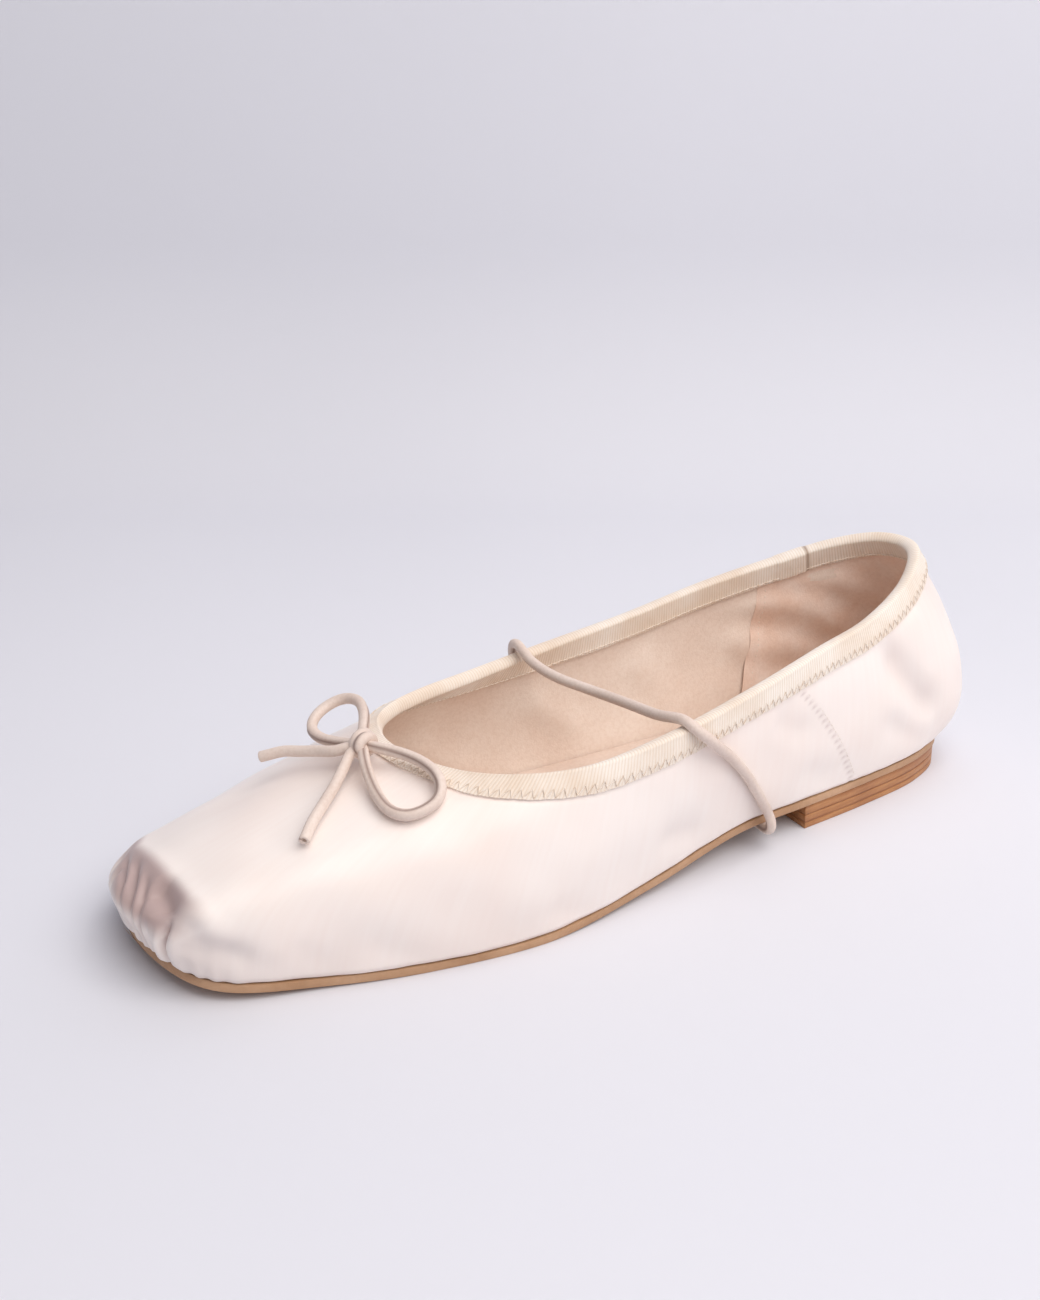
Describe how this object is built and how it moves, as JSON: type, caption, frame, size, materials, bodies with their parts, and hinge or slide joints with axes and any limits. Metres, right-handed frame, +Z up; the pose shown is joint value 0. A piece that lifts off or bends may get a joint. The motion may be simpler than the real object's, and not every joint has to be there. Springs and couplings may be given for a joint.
{
  "type": "ballet shoe",
  "caption": "Left ballet flat with a hollow satin upper, square gathered toe, ribbed topline tape, instep cord, small cord bow, thin sole and low heel lift.",
  "frame": {"origin": "bottom centre of the shoe's box, on the floor plane", "axes": "+X towards the toe, +Y towards the outer (little-toe) side of this left shoe, +Z up"},
  "size_m": [0.2552, 0.0804, 0.0695],
  "materials": {
    "satin": "pale pink satin",
    "ribbed_tape": "beige ribbed tape",
    "sole_leather": "tan sole leather",
    "heel_leather": "orange-brown stacked leather",
    "lining_leather": "beige lining leather",
    "cord": "rolled taupe cord"
  },
  "bodies": {
    "root": {"upper": "satin", "topline_binding": "ribbed_tape", "outsole": "sole_leather", "heel_lift": "heel_leather", "insole": "lining_leather", "instep_strap": "cord", "bow_knot": "cord", "bow_loop_lateral": "cord", "bow_loop_medial": "cord", "bow_end_lateral": "cord", "bow_end_medial": "cord"}
  },
  "joints": []
}
